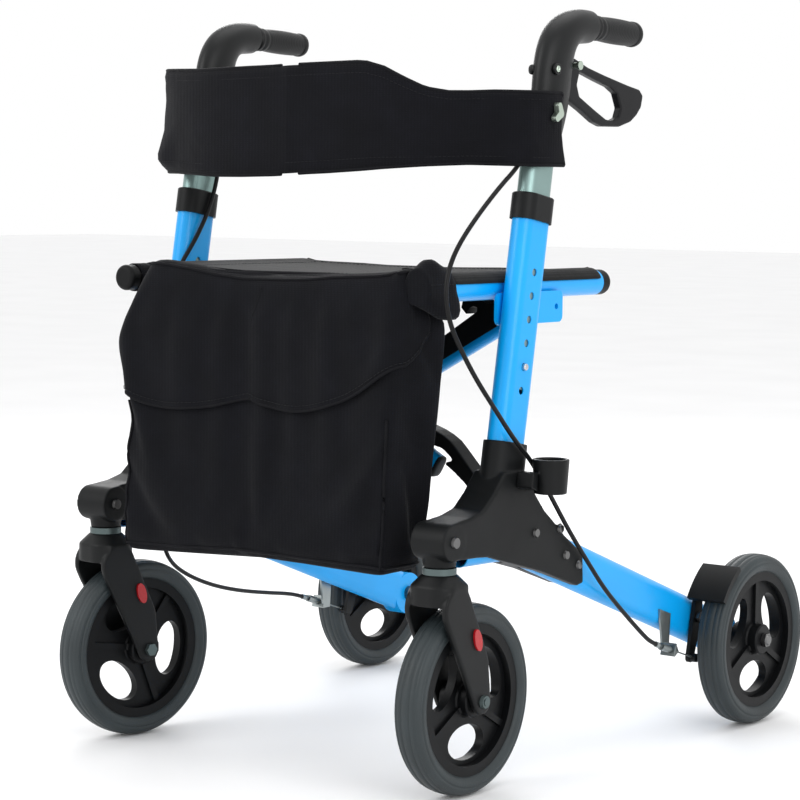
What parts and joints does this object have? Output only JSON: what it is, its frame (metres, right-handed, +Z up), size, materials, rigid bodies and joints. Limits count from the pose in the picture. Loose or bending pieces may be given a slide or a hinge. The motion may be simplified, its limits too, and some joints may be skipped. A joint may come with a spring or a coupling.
{
  "type": "rollator walker",
  "caption": "Cross-folding rollator walker with oval tube frame, sling seat, flap-front storage bag, strap backrest, height-adjustable handles with loop brakes, and swivelling front casters.",
  "frame": {"origin": "centre of the footprint of the open walker, on the ground", "axes": "+Z up, -Y the front (the caster end), +X the user's left side"},
  "size_m": [0.6172, 0.7125, 0.8186],
  "materials": {
    "frame_paint": "gloss powder coat, bright blue",
    "frame_joint_black": "moulded nylon, fine grain",
    "bolt_steel": "zinc plated",
    "rim_black": "moulded, satin",
    "tyre_grey": "soft slate grey tread",
    "black_plastic": "moulded",
    "adjuster_steel": "zinc plated",
    "cable_black": "smooth sheath",
    "inner_tube_silver": "satin anodised",
    "button_steel": "polished",
    "housing_black": "moulded, fine grain",
    "grip_rubber": "soft, ribbed",
    "lever_black": "moulded",
    "screw_silver": "satin",
    "fork_black": "moulded, satin",
    "bearing_grey": "satin",
    "reflector_red": "prismatic, glossy",
    "strap_fabric": "woven, padded",
    "foot_black": "glass-filled nylon",
    "seat_fabric": "woven polyester",
    "bag_fabric": "woven polyester"
  },
  "bodies": {
    "left_frame": {"left_lower_tube": "frame_paint", "left_upright_tube": "frame_paint", "left_frame_joint": "frame_joint_black", "left_frame_bolts": "bolt_steel", "left_rear_axle": "bolt_steel", "left_brake_adjuster": "adjuster_steel", "left_brake_cable": "cable_black", "left_rail_saddle": "frame_paint", "left_collar": "black_plastic", "cane_cup": "black_plastic"},
    "left_rear_wheel": {"left_rear_rim": "rim_black", "left_rear_tyre": "tyre_grey"},
    "left_brake": {"left_brake_arm": "black_plastic"},
    "left_caster": {"left_caster_fork": "fork_black", "left_caster_hardware": "bearing_grey", "left_fork_reflectors": "reflector_red"},
    "left_front_wheel": {"left_front_rim": "rim_black", "left_front_tyre": "tyre_grey"},
    "left_handle_unit": {"left_handle": "housing_black", "left_inner_tube": "inner_tube_silver", "left_grip": "grip_rubber", "left_handle_screws": "screw_silver"},
    "left_button": {"left_snap_button": "button_steel"},
    "left_lever": {"left_brake_lever": "lever_black"},
    "left_strap": {"left_backrest": "strap_fabric"},
    "right_frame": {"right_lower_tube": "frame_paint", "right_upright_tube": "frame_paint", "right_frame_joint": "frame_joint_black", "right_frame_bolts": "bolt_steel", "right_rear_axle": "bolt_steel", "right_brake_adjuster": "adjuster_steel", "right_brake_cable": "cable_black", "right_rail_saddle": "frame_paint", "right_collar": "black_plastic"},
    "right_rear_wheel": {"right_rear_rim": "rim_black", "right_rear_tyre": "tyre_grey"},
    "right_brake": {"right_brake_arm": "black_plastic"},
    "right_caster": {"right_caster_fork": "fork_black", "right_caster_hardware": "bearing_grey", "right_fork_reflectors": "reflector_red"},
    "right_front_wheel": {"right_front_rim": "rim_black", "right_front_tyre": "tyre_grey"},
    "right_handle_unit": {"right_handle": "housing_black", "right_inner_tube": "inner_tube_silver", "right_grip": "grip_rubber", "right_handle_screws": "screw_silver"},
    "right_button": {"right_snap_button": "button_steel"},
    "right_lever": {"right_brake_lever": "lever_black"},
    "right_strap": {"right_backrest": "strap_fabric"},
    "brace_a": {"brace_arm_a": "frame_paint", "brace_foot_a": "foot_black", "right_seat_rail": "frame_paint", "right_rail_fittings": "foot_black"},
    "brace_b": {"brace_arm_b": "frame_paint", "brace_foot_b": "foot_black", "left_seat_rail": "frame_paint", "left_rail_fittings": "foot_black", "seat_sling": "seat_fabric"},
    "bolt": {"cross_bolt": "bolt_steel"},
    "bag": {"storage_bag": "bag_fabric"}
  },
  "joints": [
    {"name": "fold", "type": "hinge", "parent": "left_frame", "child": "brace_a", "pos_m": [0.2, -0.138, 0.275], "axis": [0, 1, 0], "range_deg": [0, 48], "deforming": ["seat_sling", "storage_bag", "left_backrest", "right_backrest"]},
    {"name": "brace_cross", "type": "hinge", "parent": "brace_a", "child": "brace_b", "pos_m": [0, -0.125, 0.385], "axis": [0, 1, 0], "range_deg": [-96.1, 0]},
    {"name": "bolt_turn", "type": "hinge", "parent": "brace_a", "child": "bolt", "pos_m": [0, -0.125, 0.385], "axis": [0, 1, 0], "range_deg": [-48.1, 0]},
    {"name": "right_brace_hinge", "type": "hinge", "parent": "brace_b", "child": "right_frame", "pos_m": [-0.2, -0.112, 0.275], "axis": [0, 1, 0], "range_deg": [0, 48.1]},
    {"name": "bag_lift", "type": "slide", "parent": "bolt", "child": "bag", "axis": [0, 0, 1], "range_m": [0, 0.1075]},
    {"name": "left_rear_wheel_spin", "type": "hinge", "parent": "left_frame", "child": "left_rear_wheel", "pos_m": [0.2827, 0.2556, 0.1], "axis": [1, 0, 0], "continuous": true},
    {"name": "left_caster_swivel", "type": "hinge", "parent": "left_frame", "child": "left_caster", "pos_m": [0.2341, -0.2975, 0.24], "axis": [0, 0, 1], "continuous": true},
    {"name": "left_front_wheel_spin", "type": "hinge", "parent": "left_caster", "child": "left_front_wheel", "pos_m": [0.2341, -0.2551, 0.1], "axis": [1, 0, 0], "continuous": true},
    {"name": "left_height", "type": "slide", "parent": "left_frame", "child": "left_handle_unit", "axis": [0, 0.1714, 0.9852], "range_m": [-0.025, 0.1], "deforming": ["left_brake_cable", "left_snap_button"]},
    {"name": "left_button_press", "type": "slide", "parent": "left_handle_unit", "child": "left_button", "axis": [1, 0, 0], "range_m": [-0.0054, 0], "stiffness_N_per_m": 400, "springref_m": 0.003},
    {"name": "left_lever_pull", "type": "hinge", "parent": "left_handle_unit", "child": "left_lever", "pos_m": [0.238, -0.084, 0.757], "axis": [1, 0, 0], "range_deg": [0, 16], "stiffness_Nm_per_rad": 6, "springref_deg": -4.58},
    {"name": "left_brake_turn", "type": "hinge", "parent": "left_frame", "child": "left_brake", "pos_m": [0.2533, 0.1807, 0.1317], "axis": [1, 0, 0], "range_deg": [-2.42, 0]},
    {"name": "left_strap_swing", "type": "hinge", "parent": "left_handle_unit", "child": "left_strap", "pos_m": [0.25, -0.178, 0.7], "axis": [0, 0, 1], "range_deg": [0, 48.1]},
    {"name": "right_rear_wheel_spin", "type": "hinge", "parent": "right_frame", "child": "right_rear_wheel", "pos_m": [-0.2827, 0.2556, 0.1], "axis": [1, 0, 0], "continuous": true},
    {"name": "right_caster_swivel", "type": "hinge", "parent": "right_frame", "child": "right_caster", "pos_m": [-0.2341, -0.2975, 0.24], "axis": [0, 0, 1], "continuous": true},
    {"name": "right_front_wheel_spin", "type": "hinge", "parent": "right_caster", "child": "right_front_wheel", "pos_m": [-0.22864, -0.25545, 0.1], "axis": [0.9917, -0.1288, 0], "continuous": true},
    {"name": "right_height", "type": "slide", "parent": "right_frame", "child": "right_handle_unit", "axis": [0, 0.1714, 0.9852], "range_m": [-0.025, 0.1], "deforming": ["right_brake_cable", "right_snap_button"]},
    {"name": "right_button_press", "type": "slide", "parent": "right_handle_unit", "child": "right_button", "axis": [-1, 0, 0], "range_m": [-0.0054, 0], "stiffness_N_per_m": 400, "springref_m": 0.003},
    {"name": "right_lever_pull", "type": "hinge", "parent": "right_handle_unit", "child": "right_lever", "pos_m": [-0.238, -0.084, 0.757], "axis": [1, 0, 0], "range_deg": [0, 16], "stiffness_Nm_per_rad": 6, "springref_deg": -4.58},
    {"name": "right_brake_turn", "type": "hinge", "parent": "right_frame", "child": "right_brake", "pos_m": [-0.2533, 0.1807, 0.1317], "axis": [1, 0, 0], "range_deg": [-2.42, 0]},
    {"name": "right_strap_swing", "type": "hinge", "parent": "right_handle_unit", "child": "right_strap", "pos_m": [-0.25, -0.178, 0.7], "axis": [0, 0, 1], "range_deg": [-48.1, 0]}
  ],
  "couplings": [
    {"joint": "brace_cross", "follows": "fold", "ratio": -2},
    {"joint": "bolt_turn", "follows": "fold", "ratio": -1},
    {"joint": "right_brace_hinge", "follows": "fold", "ratio": 1},
    {"joint": "bag_lift", "follows": "fold", "m_per_rad": 0.1273},
    {"joint": "left_brake_turn", "follows": "left_lever_pull", "ratio": -0.15},
    {"joint": "left_strap_swing", "follows": "fold", "ratio": 1},
    {"joint": "right_brake_turn", "follows": "right_lever_pull", "ratio": -0.15},
    {"joint": "right_strap_swing", "follows": "fold", "ratio": -1},
    {"joint": "right_height", "follows": "left_height", "ratio": 1}
  ]
}
